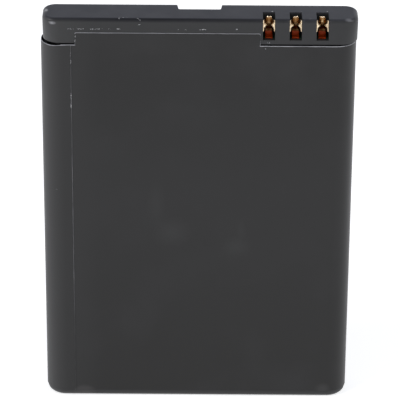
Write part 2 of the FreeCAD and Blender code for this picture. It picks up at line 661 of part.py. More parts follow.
def make_top_cap():
    """Moulded cap: rounded hood on two feet, a skirt inside the label, a room for the board,
    three contact slots in a solid block and a latch notch in the back edge."""
    body = new_body("top_cap")
    hood = []
    for name, level, radius in (
            ("foot", "foot_level", "min(foot_corner; half_depth - corner_flat)"),
            ("shoulder", "band_base", "cap_corner"), ("band", "band_base", "cap_corner")):
        section = new_sketch(body, name, offset=level)
        draw_section(section, "0", radius, shift="cap_shift")
        hood.append(section)
    loft = body.newObject("PartDesign::AdditiveLoft", "top_cap_hood")
    loft.Profile = hood[0]
    loft.Sections = [hood[1]]
    loft.Ruled = True
    pad(body, hood[2], "pack_length - band_base")
    doc.recompute()
    rim = edges_at(body.Shape, number("pack_length"))
    round_edges(body, rim, "min(cap_rim; cap_corner - corner_flat)")

    skirt = new_sketch(body, "skirt", offset="can_top")
    draw_rounded(skirt, "cap_left + skirt_side_inset", "cap_right - skirt_side_inset",
                 "skirt_face_inset - half_depth", "half_depth - skirt_face_inset",
                 "can_corner - skirt_side_inset")
    pad(body, skirt, "foot_level - can_top")

    lower = new_sketch(body, "lower_room", offset="can_top")
    draw_rounded(lower, "room_left", "room_right", "-wall_depth", "wall_depth", "room_corner")
    pocket(body, lower, "slot_floor - can_top")

    upper = new_sketch(body, "upper_room", offset="slot_floor")
    left, right = "cap_left + cap_ends", "cap_right - cap_ends"
    draw_outline(upper, (
        (left, "-wall_depth"), ("block_left", "-wall_depth"), ("block_left", "block_back"),
        ("block_right", "block_back"), ("block_right", "-wall_depth"), (right, "-wall_depth"),
        (right, "wall_depth"), (left, "wall_depth")))
    pocket(body, upper, "ceiling - slot_floor")

    for name, place in (("left", "board_left + rib_start"), ("right", "block_left - rib_end")):
        rib = new_sketch(body, f"{name}_rib", offset="board_top + rib_gap")
        draw_rectangle(rib, place, f"{place} + rib_width", "-wall_depth - root_depth",
                       "rib_reach - wall_depth")
        pad(body, rib, "ceiling + root_depth - board_top - rib_gap")

    shell = new_sketch(body, "notch_shell", offset="notch_floor - notch_wall")
    draw_rectangle(shell, "notch_left - notch_wall", "notch_right + notch_wall",
                   "notch_front - notch_wall", "wall_depth + root_depth")
    pad(body, shell, "ceiling + root_depth - notch_floor + notch_wall")

    notch = new_sketch(body, "notch", offset="notch_floor")
    inner = ("notch_left + notch_lean", "notch_right - notch_lean")
    draw_outline(notch, (
        (f"{inner[0]} + notch_round", "notch_front"),
        (f"{inner[1]} - notch_round", "notch_front", "notch_round", 1),
        (inner[1], "notch_front + notch_round"), ("notch_right", "half_depth"),
        ("notch_right", "half_depth + film"), ("notch_left", "half_depth + film"),
        ("notch_left", "half_depth"),
        (inner[0], "notch_front + notch_round", "notch_round", 1)))
    pocket(body, notch, "notch_drop + film")

    slot = new_sketch(body, "slot", offset="slot_floor")
    draw_rectangle(slot, "first_slot - slot_width / 2", "first_slot + slot_width / 2",
                   "-half_depth - film", "slot_back")
    cut = pocket(body, slot, "slot_drop + film")
    repeat_across(body, cut, slot, f"slot_pitch * {SLOT_COUNT - 1}", SLOT_COUNT)


def make_label_wrap():
    """Plastic film wound once round the cell: a sleeve with a tab over the cap's front, lying
    double in a strip where its end is stuck down at the left."""
    body = new_body("label_wrap")
    outline = new_sketch(body, "outline", offset="label_hem")
    draw_section(outline, "-film", "can_corner + film")
    pad(body, outline, "label_top - label_hem")
    inside = new_sketch(body, "inside", offset="label_hem - film")
    draw_section(inside, "0", "can_corner")
    pocket(body, inside, "label_top - label_hem + film * 2")

    tab = new_sketch(body, "tab", role="XZ_Plane", offset="half_depth")
    draw_outline(tab, (
        ("tab_left", "label_top - tab_drop"), ("tab_right", "label_top - tab_drop"),
        ("tab_right", "tab_top - tab_round", "tab_round", 1),
        ("tab_right - tab_round", "tab_top"),
        ("tab_left + tab_round", "tab_top", "tab_round", 1),
        ("tab_left", "tab_top - tab_round")))
    pad(body, tab, "film")

    seam = new_sketch(body, "seam", offset="label_hem")
    draw_outline(seam, (
        ("seam_edge", "-half_depth - film / 2"),
        ("corner_middle", "-half_depth - film / 2", "film_middle", -1),
        ("corner_middle - film_middle * tent_across", "corner_depth - film_middle * tent_along"),
        ("corner_middle - film_outer * tent_across", "corner_depth - film_outer * tent_along"),
        ("corner_middle", "-label_outer - film"), ("seam_edge", "-label_outer - film")))
    pad(body, seam, "label_top - label_hem")


make_bottom_cap()
make_bottom_tape()
make_cell_can()
make_cell_lid()
make_terminal()
make_electrode_roll()
make_strips()
make_board()
make_contact("contact_positive", "last_slot")
make_contact("contact_sense", "middle_slot")
make_contact("contact_negative", "first_slot")
make_top_cap()
make_label_wrap()
doc.recompute()

for item in doc.Objects:
    if "Invalid" in item.State or "Error" in item.State:
        raise RuntimeError(f"{item.Name} failed: {item.State}")
for body in bodies:
    shape = body.Shape
    if shape.isNull() or not shape.isValid() or len(shape.Solids) != 1:
        raise RuntimeError(f"{body.Label} is not one sound solid")
for body in bodies:
    body.Shape.exportStep(f"parts/{body.Label}.step")
    print(body.Label, round(body.Shape.Volume, 3))
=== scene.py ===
import math

import bmesh
import bpy
from mathutils import Matrix, Vector, noise


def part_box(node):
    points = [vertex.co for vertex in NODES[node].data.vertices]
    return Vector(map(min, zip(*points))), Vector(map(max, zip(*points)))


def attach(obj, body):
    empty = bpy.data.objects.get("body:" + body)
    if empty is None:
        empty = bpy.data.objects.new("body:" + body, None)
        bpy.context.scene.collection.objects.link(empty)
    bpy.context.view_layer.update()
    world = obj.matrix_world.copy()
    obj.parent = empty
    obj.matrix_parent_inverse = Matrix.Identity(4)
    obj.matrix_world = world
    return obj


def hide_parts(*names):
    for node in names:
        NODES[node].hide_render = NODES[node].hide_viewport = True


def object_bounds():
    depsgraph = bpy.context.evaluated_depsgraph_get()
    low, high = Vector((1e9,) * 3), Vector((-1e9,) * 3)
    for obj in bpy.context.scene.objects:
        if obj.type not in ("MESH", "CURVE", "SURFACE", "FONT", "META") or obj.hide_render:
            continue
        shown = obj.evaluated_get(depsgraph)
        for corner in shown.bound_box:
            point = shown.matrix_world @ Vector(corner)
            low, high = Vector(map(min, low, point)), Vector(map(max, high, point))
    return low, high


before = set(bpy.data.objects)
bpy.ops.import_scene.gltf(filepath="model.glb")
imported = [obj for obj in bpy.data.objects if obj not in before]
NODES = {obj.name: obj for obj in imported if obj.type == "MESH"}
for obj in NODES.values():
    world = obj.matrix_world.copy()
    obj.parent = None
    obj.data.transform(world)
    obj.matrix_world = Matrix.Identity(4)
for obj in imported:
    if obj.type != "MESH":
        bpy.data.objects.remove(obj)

cad_low, cad_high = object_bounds()
MM = 0.001
scene = bpy.context.scene
scene.view_settings.view_transform = "Standard"


# Camera
# The battery is photographed from straight in front and a little above, from far off with a
# long lens, so that its sides nearly run parallel.
PHOTO_PIXELS = 400
FOCAL_PIXELS = 2773.4
SENSOR_WIDTH = 36.0
CAMERA_DISTANCE = 375.5 * MM
CAMERA_ELEVATION = math.radians(26.35)
CAMERA_ROLL = math.radians(0.387)
OBJECT_PIXEL = (197.45, 205.35)
NEAREST, FARTHEST = 0.01, 20.0


def linked(name, data):
    """A new object of the scene."""
    made = bpy.data.objects.new(name, data)
    scene.collection.objects.link(made)
    return made


middle = Vector((0.0, 0.0, cad_high.z / 2))
eye = middle + CAMERA_DISTANCE * Vector((
    0.0, -math.cos(CAMERA_ELEVATION), math.sin(CAMERA_ELEVATION)))
camera_data = bpy.data.cameras.new("photo_camera")
camera_data.sensor_width = SENSOR_WIDTH
camera_data.lens = FOCAL_PIXELS / PHOTO_PIXELS * SENSOR_WIDTH
camera_data.shift_x = (PHOTO_PIXELS / 2 - OBJECT_PIXEL[0]) / PHOTO_PIXELS
camera_data.shift_y = (OBJECT_PIXEL[1] - PHOTO_PIXELS / 2) / PHOTO_PIXELS
camera_data.clip_start, camera_data.clip_end = NEAREST, FARTHEST
camera = linked("photo_camera", camera_data)
aim = (middle - eye).to_track_quat("-Z", "Y")
camera.rotation_mode = "QUATERNION"
camera.location = eye
camera.rotation_quaternion = aim @ Matrix.Rotation(CAMERA_ROLL, 3, "Z").to_quaternion()
scene.camera = camera


# Studio
# A pale sweep under the battery, a soft lamp on either side above it and an even white room.
# The sweep glows a little to the camera and in reflections, and throws no other light.
FLOOR_SIZE = 3.0
FLOOR_SHADE, FLOOR_GLOW = 0.8, 0.58
HORIZON = (0.80, 0.80, 0.82)
WALL_HEIGHT, WALL = 0.42, (0.44, 0.46, 0.52)
CEILING_HEIGHT, CEILING = 0.85, (0.22, 0.23, 0.26)
LAMP_SIZE = 0.35
LAMPS = (
    ("left_softbox", (-0.55, -0.35, 0.55), 3.2),
    ("right_softbox", (0.60, -0.30, 0.50), 2.6),
)


def seen_or_mirrored(nodes, links):
    """1 for what the camera sees, directly, in a reflection or through something clear."""
    path = nodes.new("ShaderNodeLightPath")
    seen = path.outputs["Is Camera Ray"]
    for ray in ("Is Glossy Ray", "Is Transmission Ray"):
        either = nodes.new("ShaderNodeMath")
        either.operation = "MAXIMUM"
        links.new(seen, either.inputs[0])
        links.new(path.outputs[ray], either.inputs[1])
        seen = either.outputs[0]
    return seen


floor_mesh = bpy.data.meshes.new("studio_floor")
half = FLOOR_SIZE / 2
floor_mesh.from_pydata([(-half, -half, 0), (half, -half, 0), (half, half, 0), (-half, half, 0)],
                       [], [(0, 1, 2, 3)])
floor = linked("studio_floor", floor_mesh)
sweep = bpy.data.materials.new("pale_sweep")
sweep.use_nodes = True
nodes, links = sweep.node_tree.nodes, sweep.node_tree.links
nodes.clear()
output = nodes.new("ShaderNodeOutputMaterial")
paper = nodes.new("ShaderNodeBsdfDiffuse")
paper.inputs["Color"].default_value = (FLOOR_SHADE, FLOOR_SHADE, FLOOR_SHADE, 1)
lift = nodes.new("ShaderNodeEmission")
lift.inputs["Color"].default_value = (1, 1, 1, 1)
strength = nodes.new("ShaderNodeMath")
strength.operation = "MULTIPLY"
strength.inputs[1].default_value = FLOOR_GLOW
links.new(seen_or_mirrored(nodes, links), strength.inputs[0])
links.new(strength.outputs[0], lift.inputs["Strength"])
both = nodes.new("ShaderNodeAddShader")
links.new(paper.outputs[0], both.inputs[0])
links.new(lift.outputs[0], both.inputs[1])
links.new(both.outputs[0], output.inputs["Surface"])
floor_mesh.materials.append(sweep)

world = bpy.data.worlds.new("white_room")
scene.world = world
world.use_nodes = True
nodes, links = world.node_tree.nodes, world.node_tree.links
nodes.clear()
output = nodes.new("ShaderNodeOutputWorld")
course = nodes.new("ShaderNodeTexCoord")
parts = nodes.new("ShaderNodeSeparateXYZ")
links.new(course.outputs["Generated"], parts.inputs[0])
walls = nodes.new("ShaderNodeValToRGB")
bands = walls.color_ramp.elements
bands[0].position, bands[0].color = 0.0, (*HORIZON, 1)
bands[1].position, bands[1].color = CEILING_HEIGHT, (*CEILING, 1)
bands.new(WALL_HEIGHT).color = (*WALL, 1)
links.new(parts.outputs["Z"], walls.inputs["Fac"])
room = nodes.new("ShaderNodeBackground")
links.new(walls.outputs["Color"], room.inputs["Color"])
white = nodes.new("ShaderNodeBackground")
white.inputs["Color"].default_value = (1, 1, 1, 1)
path = nodes.new("ShaderNodeLightPath")
either = nodes.new("ShaderNodeMixShader")
links.new(path.outputs["Is Camera Ray"], either.inputs["Fac"])
links.new(room.outputs[0], either.inputs[1])
links.new(white.outputs[0], either.inputs[2])
links.new(either.outputs[0], output.inputs["Surface"])

for name, place, power in LAMPS:
    lamp_data = bpy.data.lights.new(name, "AREA")
    lamp_data.shape = "DISK"
    lamp_data.size = LAMP_SIZE
    lamp_data.energy = power
    lamp = linked(name, lamp_data)
    lamp.location = place
    lamp.rotation_euler = (middle - Vector(place)).to_track_quat("-Z", "Y").to_euler()


# Label film
# Dark polyester film, 0.1 mm thick, cut flat with a tab and wound once round the cell. Its end
# is stuck down over its start at the front left; the cut edges show the film's paler core.
FILM = 0.1
CAN_HALF_WIDTH = 20.65
CAN_HALF_DEPTH = 2.7
CAN_CORNER = 2.6
HEM = 1.05
LABEL_TOP = 52.93
TAB_TOP = 54.65
TAB_LEFT, TAB_RIGHT = -16.15, 8.08
TAB_ROUND = 0.2
SEAM_EDGE = -16.71
# the face's faint waves: how high, how long each way, and where they begin and end
FILM_WAVE = 0.012
WAVE_LENGTHS = (6, 3, 9)
WAVE_START, WAVE_END = (1.0, 4.0), (47.5, 51.0)
CALM_BEFORE_CORNER = 3
CLIMB = 1.05
# the cut edges: how far they waver, and how far the outer face is drawn in behind the inner
EDGE_WAVER, WAVER_PITCH, WAVER_LAYER = 0.018, 0.9, 3.0
RAGGED_PITCH, RAGGED_LAYER = 2.3, 7.0
RAGGED_MIDDLE, RAGGED_LEAST = 0.5, 0.6
ON_EDGE, NEAR_EDGE = 1e-4, 0.1
CUT_SLANT = 0.030
SHORT_CUT_SLANT, SHORT_CUT_FROM = 0.075, 50
TAB_SIDE_SLANT = 0.006
SEAM_SLANT_IN, SEAM_SLANT_OUT, SEAM_SLANT_LOSS = (7, 20), (34, 42), 0.55
# the top edge hangs a little where the film turns the last corner
CORNER_SAG, SAG_HEIGHT = 0.15, 1.5
SAG_IN, SAG_OUT = (-2.5, 0.2), (-1.4, 0.3)
LINE_STEP, ARC_STEP, FILM_ROWS = 0.9, 0.26, 56

front_run = 2 * (CAN_HALF_WIDTH - CAN_CORNER)
side_run = 2 * (CAN_HALF_DEPTH - CAN_CORNER)
corner_run = math.pi / 2 * CAN_CORNER
LEFT_TANGENT = CAN_CORNER - CAN_HALF_WIDTH
RUNS = (
    ("line", front_run, (LEFT_TANGENT, -CAN_HALF_DEPTH), (1, 0)),
    ("arc", corner_run, (-LEFT_TANGENT, CAN_CORNER - CAN_HALF_DEPTH), -90),
    ("line", side_run, (CAN_HALF_WIDTH, CAN_CORNER - CAN_HALF_DEPTH), (0, 1)),
    ("arc", corner_run, (-LEFT_TANGENT, CAN_HALF_DEPTH - CAN_CORNER), 0),
    ("line", front_run, (-LEFT_TANGENT, CAN_HALF_DEPTH), (-1, 0)),
    ("arc", corner_run, (LEFT_TANGENT, CAN_HALF_DEPTH - CAN_CORNER), 90),
    ("line", side_run, (-CAN_HALF_WIDTH, CAN_HALF_DEPTH - CAN_CORNER), (0, -1)),
    ("arc", corner_run, (LEFT_TANGENT, CAN_CORNER - CAN_HALF_DEPTH), 180),
    ("line", SEAM_EDGE - LEFT_TANGENT, (LEFT_TANGENT, -CAN_HALF_DEPTH), (1, 0)),
)
ONCE_ROUND = 2 * (front_run + side_run) + 4 * corner_run
LAST_CORNER = ONCE_ROUND - corner_run
FILM_LENGTH = ONCE_ROUND + SEAM_EDGE - LEFT_TANGENT


def on_can(along):
    """Point on the can's section and the normal there, for a length along the film."""
    run = 0
    while run < len(RUNS) - 1 and along > RUNS[run][1] + 1e-9:
        along -= RUNS[run][1]
        run += 1
    kind, _, start, course = RUNS[run]
    if kind == "line":
        point = Vector((start[0] + course[0] * along, start[1] + course[1] * along))
        return point, Vector((course[1], -course[0]))
    angle = math.radians(course) + along / CAN_CORNER
    normal = Vector((math.cos(angle), math.sin(angle)))
    return Vector(start) + CAN_CORNER * normal, normal


def ease(value, low, high):
    """From 0 at the low value to 1 at the high one, gently at both ends."""
    share = min(max((value - low) / (high - low), 0.0), 1.0)
    return share * share * (3 - 2 * share)


def unevenness(place, pitch, layer):
    """A smooth random value over the flat film."""
    return noise.noise(Vector((place.x * pitch, place.y * pitch, layer)))


def film_lift(along):
    """The film climbs onto its own start at the last corner."""
    return FILM * CLIMB * ease(along, LAST_CORNER, ONCE_ROUND)


def film_place(along, height, depth):
    """A place in the flat film, at a depth from its inner face, wound onto the can."""
    point, normal = on_can(along)
    wave = FILM_WAVE * noise.noise(Vector((
        point.x / WAVE_LENGTHS[0], point.y / WAVE_LENGTHS[1], height / WAVE_LENGTHS[2])))
    calm = ease(along, *WAVE_START) * (1 - ease(height, *WAVE_END))
    calm *= 1 - ease(along, LAST_CORNER - CALM_BEFORE_CORNER, LAST_CORNER)
    out = film_lift(along) + depth + calm * max(wave, -FILM_WAVE / 2) * ease(depth, 0, FILM)
    return MM * Vector((point.x + normal.x * out, point.y + normal.y * out, height))


def corner_points(across, height, radius, first, steps=5):
    """A quarter round of an outline, anticlockwise from the first angle in degrees."""
    angles = [math.radians(first + 90 * step / steps) for step in range(steps + 1)]
    return [(across + radius * math.cos(a), height + radius * math.sin(a)) for a in angles]


def cut_film(bm, place, normal):
    """Add a line of vertices across the flat film."""
    bmesh.ops.bisect_plane(bm, geom=bm.verts[:] + bm.edges[:] + bm.faces[:], dist=1e-6,
                           plane_co=place, plane_no=normal)


tab_start, tab_end = TAB_LEFT - LEFT_TANGENT, TAB_RIGHT - LEFT_TANGENT
outline = [(0.0, HEM), (FILM_LENGTH, HEM), (FILM_LENGTH, LABEL_TOP), (tab_end, LABEL_TOP)]
outline += corner_points(tab_end - TAB_ROUND, TAB_TOP - TAB_ROUND, TAB_ROUND, 0)
outline += corner_points(tab_start + TAB_ROUND, TAB_TOP - TAB_ROUND, TAB_ROUND, 90)
outline += [(tab_start, LABEL_TOP), (0.0, LABEL_TOP)]

flat = bmesh.new()
flat.faces.new([flat.verts.new((across, height, 0)) for across, height in outline])
cuts, passed = [], 0.0
for kind, length, _, _ in RUNS:
    steps = max(1, round(length / (LINE_STEP if kind == "line" else ARC_STEP)))
    cuts += [passed + length * step / steps for step in range(steps + 1)]
    passed += length
for across in sorted(set(round(cut, 6) for cut in cuts))[1:-1]:
    cut_film(flat, (across, 0, 0), (1, 0, 0))
for row in range(1, FILM_ROWS):
    cut_film(flat, (0, HEM + (TAB_TOP - HEM) * row / FILM_ROWS, 0), (0, 1, 0))
for vert in flat.verts:
    sag = ease(vert.co.x, LAST_CORNER + SAG_IN[0], LAST_CORNER + SAG_IN[1])
    sag *= 1 - ease(vert.co.x, ONCE_ROUND + SAG_OUT[0], ONCE_ROUND + SAG_OUT[1])
    sag *= ease(vert.co.y, LABEL_TOP - SAG_HEIGHT, LABEL_TOP)
    if vert.is_boundary:
        away = EDGE_WAVER * unevenness(vert.co, WAVER_PITCH, WAVER_LAYER)
        if vert.co.x > FILM_LENGTH - ON_EDGE:
            vert.co.x += away
        elif vert.co.y > LABEL_TOP - ON_EDGE:
            vert.co.y += away
    vert.co.y -= CORNER_SAG * sag


def cut_slant(place):
    """How far the outer face is drawn in at a place on the film's edge."""
    if place.x > FILM_LENGTH - NEAR_EDGE:
        return (CUT_SLANT * ease(place.y, *SEAM_SLANT_IN)
                * (1 - SEAM_SLANT_LOSS * ease(place.y, *SEAM_SLANT_OUT)))
    if SHORT_CUT_FROM < place.y < LABEL_TOP + NEAR_EDGE:
        return SHORT_CUT_SLANT
    if LABEL_TOP + NEAR_EDGE < place.y < TAB_TOP - TAB_ROUND:
        return TAB_SIDE_SLANT
    return CUT_SLANT


film = bmesh.new()
flat.verts.index_update()
flat.normal_update()
into = {}
for edge in flat.edges:
    if edge.is_boundary:
        inward = edge.link_loops[0].calc_tangent()
        for vert in edge.verts:
            into[vert.index] = into.get(vert.index, Vector()) + inward
inner, outer = {}, {}
for vert in flat.verts:
    inner[vert.index] = film.verts.new(film_place(vert.co.x, vert.co.y, 0.0))
    top = vert.co.copy()
    if vert.index in into and into[vert.index].length > 0:
        ragged = RAGGED_MIDDLE + unevenness(vert.co, RAGGED_PITCH, RAGGED_LAYER)
        slant = cut_slant(top)
        top += into[vert.index].normalized() * slant * (RAGGED_LEAST + max(ragged, 0.0))
    outer[vert.index] = film.verts.new(film_place(max(top.x, 0.0), top.y, FILM))
for face in flat.faces:
    film.faces.new([outer[vert.index] for vert in face.verts])
    film.faces.new([inner[vert.index] for vert in reversed(face.verts)])
for edge in flat.edges:
    if edge.is_boundary:
        loop = edge.link_loops[0]
        first, last = loop.vert.index, loop.link_loop_next.vert.index
        rim = film.faces.new([outer[last], outer[first], inner[first], inner[last]])
        rim.material_index = 1
flat.free()
for face in film.faces:
    face.smooth = face.material_index == 0
for edge in film.edges:
    edge.smooth = len({face.material_index for face in edge.link_faces}) == 1


# how the materials vary: noise detail, the grain's broad shade against its fine height, the
# shade that gloss follows, the bump's height in mm, and a spot's crumbling edge and full core
GRAIN_DETAIL, SHADE_DETAIL, CLOUD_DETAIL = 3.0, 2.0, 4.0
SHADE_COARSER = 0.06
SHADE_LOW, SHADE_HIGH = 0.3, 0.7
RELIEF = 0.02
CRUMBLE_SCALE, SPOT_CORE = 3500.0, 0.35


def mesh_of(bm, name):
    """The plain mesh of an edited one, which is given up."""
    mesh = bpy.data.meshes.new(name)
    bm.to_mesh(mesh)
    bm.free()
    return mesh


def dress_piece(piece, replaced):
    """Say what a finished piece rides on, and hide the parts that it stands for."""
    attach(piece, "root")
    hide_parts(*replaced)


def new_group(kind, name, inputs, outputs):
    """A node group with its sockets: the group, its input and output nodes, its input sockets."""
    group = bpy.data.node_groups.new(name, kind)
    sockets = {}
    for label, carried in inputs:
        sockets[label] = group.interface.new_socket(label, in_out="INPUT",
                                                    socket_type="NodeSocket" + carried)
    for label, carried in outputs:
        group.interface.new_socket(label, in_out="OUTPUT", socket_type="NodeSocket" + carried)
    return group, group.nodes.new("NodeGroupInput"), group.nodes.new("NodeGroupOutput"), sockets


def grain_group():
    """Fine moulded or cast grain: a height for the bump and a shade that varies a little."""
    group, source, result, _ = new_group(
        "ShaderNodeTree", "fine_grain", (("Vector", "Vector"), ("Scale", "Float")),
        (("Height", "Float"), ("Shade", "Float")))
    nodes, links = group.nodes, group.links
    fine = nodes.new("ShaderNodeTexNoise")
    fine.inputs["Detail"].default_value = GRAIN_DETAIL
    broad = nodes.new("ShaderNodeTexNoise")
    broad.inputs["Detail"].default_value = SHADE_DETAIL
    coarser = nodes.new("ShaderNodeMath")
    coarser.operation = "MULTIPLY"
    coarser.inputs[1].default_value = SHADE_COARSER
    links.new(source.outputs["Vector"], fine.inputs["Vector"])
    links.new(source.outputs["Scale"], fine.inputs["Scale"])
    links.new(fine.outputs["Fac"], result.inputs["Height"])
    links.new(source.outputs["Scale"], coarser.inputs[0])
    links.new(source.outputs["Vector"], broad.inputs["Vector"])
    links.new(coarser.outputs[0], broad.inputs["Scale"])
    links.new(broad.outputs["Fac"], result.inputs["Shade"])
    return group


fine_grain = grain_group()


def grained(name, dark, light, roughness, scale=4000.0, bump=0.05, metallic=0.0, specular=0.5,
            drawn=(1.0, 1.0, 1.0)):
    """A material whose colour and gloss vary a little over a fine grain, which may be drawn out."""
    material = bpy.data.materials.new(name)
    material.use_nodes = True
    nodes, links = material.node_tree.nodes, material.node_tree.links
    nodes.clear()
    output = nodes.new("ShaderNodeOutputMaterial")
    shader = nodes.new("ShaderNodeBsdfPrincipled")
    links.new(shader.outputs[0], output.inputs["Surface"])
    place = nodes.new("ShaderNodeTexCoord")
    course = nodes.new("ShaderNodeMapping")
    course.inputs["Scale"].default_value = drawn
    grain = nodes.new("ShaderNodeGroup")
    grain.node_tree = fine_grain
    grain.inputs["Scale"].default_value = scale
    links.new(place.outputs["Object"], course.inputs["Vector"])
    links.new(course.outputs["Vector"], grain.inputs["Vector"])
    colour = nodes.new("ShaderNodeMix")
    colour.data_type = "RGBA"
    colour.inputs["A"].default_value = (*dark, 1)
    colour.inputs["B"].default_value = (*light, 1)
    links.new(grain.outputs["Shade"], colour.inputs["Factor"])
    links.new(colour.outputs["Result"], shader.inputs["Base Color"])
    gloss = nodes.new("ShaderNodeMapRange")
    gloss.inputs["From Min"].default_value = SHADE_LOW
    gloss.inputs["From Max"].default_value = SHADE_HIGH
    gloss.inputs["To Min"].default_value = roughness[0]
    gloss.inputs["To Max"].default_value = roughness[1]
    links.new(grain.outputs["Shade"], gloss.inputs["Value"])
    links.new(gloss.outputs[0], shader.inputs["Roughness"])
    relief = nodes.new("ShaderNodeBump")
    relief.inputs["Strength"].default_value = bump
    relief.inputs["Distance"].default_value = RELIEF * MM
    links.new(grain.outputs["Height"], relief.inputs["Height"])
    links.new(relief.outputs[0], shader.inputs["Normal"])
    shader.inputs["Metallic"].default_value = metallic
    shader.inputs["Specular IOR Level"].default_value = specular
    return material, nodes, links, shader


def overlay_group(name, inputs):
    """A group that lays one colour over another; what its mask is made from comes after."""
    group, source, result, _ = new_group(
        "ShaderNodeTree", name,
        (("Vector", "Vector"), *inputs, ("Base", "Color"), ("Over", "Color")),
        (("Colour", "Color"),))
    over = group.nodes.new("ShaderNodeMix")
    over.data_type = "RGBA"
    group.links.new(source.outputs["Base"], over.inputs["A"])
    group.links.new(source.outputs["Over"], over.inputs["B"])
    group.links.new(over.outputs["Result"], result.inputs["Colour"])
    return group, source, over.inputs["Factor"]


def patches_group():
    """Cloudy patches, such as smudges and thin plating."""
    group, source, mask = overlay_group(
        "cloudy_patches", (("Scale", "Float"), ("Low", "Float"), ("High", "Float")))
    nodes, links = group.nodes, group.links
    cloud = nodes.new("ShaderNodeTexNoise")
    cloud.inputs["Detail"].default_value = CLOUD_DETAIL
    reach = nodes.new("ShaderNodeMapRange")
    links.new(source.outputs["Vector"], cloud.inputs["Vector"])
    links.new(source.outputs["Scale"], cloud.inputs["Scale"])
    links.new(cloud.outputs["Fac"], reach.inputs["Value"])
    links.new(source.outputs["Low"], reach.inputs["From Min"])
    links.new(source.outputs["High"], reach.inputs["From Max"])
    links.new(reach.outputs[0], mask)
    return group


def spot_group():
    """One soft-edged spot of colour, such as a painted highlight or painted shade, broken up by a
    fine noise.
    """
    group, source, mask = overlay_group(
        "soft_spot", (("Centre", "Vector"), ("Reach", "Vector"), ("Broken", "Float")))
    nodes, links = group.nodes, group.links
    away, scaled, length = [nodes.new("ShaderNodeVectorMath") for _ in range(3)]
    away.operation, scaled.operation, length.operation = "SUBTRACT", "DIVIDE", "LENGTH"
    crumble = nodes.new("ShaderNodeTexNoise")
    crumble.inputs["Scale"].default_value = CRUMBLE_SCALE
    uneven = nodes.new("ShaderNodeMath")
    uneven.operation = "MULTIPLY_ADD"
    reach = nodes.new("ShaderNodeMapRange")
    reach.inputs["From Min"].default_value = 1.0
    reach.inputs["From Max"].default_value = SPOT_CORE
    links.new(source.outputs["Vector"], away.inputs[0])
    links.new(source.outputs["Centre"], away.inputs[1])
    links.new(away.outputs["Vector"], scaled.inputs[0])
    links.new(source.outputs["Reach"], scaled.inputs[1])
    links.new(scaled.outputs["Vector"], length.inputs[0])
    links.new(source.outputs["Vector"], crumble.inputs["Vector"])
    links.new(crumble.outputs["Fac"], uneven.inputs[0])
    links.new(source.outputs["Broken"], uneven.inputs[1])
    links.new(length.outputs["Value"], uneven.inputs[2])
    links.new(uneven.outputs[0], reach.inputs["Value"])
    links.new(reach.outputs[0], mask)
    return group


def zone_group():
    """A second colour that fades in along one direction, from a start to an end."""
    group, source, mask = overlay_group(
        "fading_zone", (("Along", "Vector"), ("Start", "Float"), ("End", "Float")))
    nodes, links = group.nodes, group.links
    measure = nodes.new("ShaderNodeVectorMath")
    measure.operation = "DOT_PRODUCT"
    reach = nodes.new("ShaderNodeMapRange")
    links.new(source.outputs["Vector"], measure.inputs[0])
    links.new(source.outputs["Along"], measure.inputs[1])
    links.new(measure.outputs["Value"], reach.inputs["Value"])
    links.new(source.outputs["Start"], reach.inputs["From Min"])
    links.new(source.outputs["End"], reach.inputs["From Max"])
    links.new(reach.outputs[0], mask)
    return group


cloudy_patches = patches_group()
soft_spot = spot_group()
fading_zone = zone_group()
UPWARD, LEFTWARD, BACKWARD = (0.0, 0.0, 1.0), (-1.0, 0.0, 0.0), (0.0, 1.0, 0.0)


def lay_over(painted, group, colour, socket="Base Color", **values):
    """Put a group's colour over what a material's socket already has."""
    _, nodes, links, shader = painted
    place = nodes.new("ShaderNodeTexCoord")
    layer = nodes.new("ShaderNodeGroup")
    layer.node_tree = group
    layer.inputs["Over"].default_value = (*colour, 1)
    for label, value in values.items():
        layer.inputs[label].default_value = value
    links.new(place.outputs["Object"], layer.inputs["Vector"])
    target = shader.inputs[socket]
    if target.is_linked:
        links.new(target.links[0].from_socket, layer.inputs["Base"])
    else:
        layer.inputs["Base"].default_value = (*[target.default_value] * 3, 1)
    links.new(layer.outputs["Colour"], target)


def patches(painted, colour, scale, low, high):
    """Cloudy patches of a colour; the nearer low and high are, the harder their edges."""
    lay_over(painted, cloudy_patches, colour, Scale=scale, Low=low, High=high)


def zone(painted, colour, along, start, end, socket="Base Color"):
    """A colour that comes in along a direction, between two places in mm."""
    lay_over(painted, fading_zone, colour, socket, Along=along, Start=start * MM, End=end * MM)


def spot(painted, colour, centre, reach, broken):
    """A spot of a colour, with its centre and its reach each way in mm."""
    lay_over(painted, soft_spot, colour, Centre=[value * MM for value in centre],
             Reach=[value * MM for value in reach], Broken=broken)


# paler patches on the label's front: centre, reach each way and shade, in mm
PALER_PATCHES = (
    ((-5.57, -2.8, 29.85), (1.8, 1.0, 5.2), 0.0205),
    ((-3.41, -2.8, 25.65), (3.8, 1.0, 3.2), 0.0225),
    ((5.25, -2.8, 23.44), (2.9, 1.0, 2.3), 0.0225),
    ((5.90, -2.8, 26.02), (1.0, 1.0, 2.6), 0.0200),
)
# where a blister would lift the film near the bottom; the film stays flat, and the spots there are
# painted highlights
BLISTER_HIGHLIGHT, BLISTER_HIGHLIGHT_REACH, BLISTER_HIGHLIGHT_CORE = (-15.50, -2.8, 0.50), (1.90, 1.0, 1.50), (1.65, 1.0, 1.15)
film_look = grained("film_face", (0.0100, 0.0098, 0.0098), (0.0135, 0.0133, 0.0133),
                    (0.34, 0.40), scale=2500.0, bump=0.03, specular=0.31)
zone(film_look, (0.0145, 0.0143, 0.0143), UPWARD, 46.0, 34.0)
zone(film_look, (0.0115, 0.0113, 0.0110), UPWARD, 26.0, 8.0)
patches(film_look, (0.0165, 0.0163, 0.0166), 110.0, 0.50, 0.72)
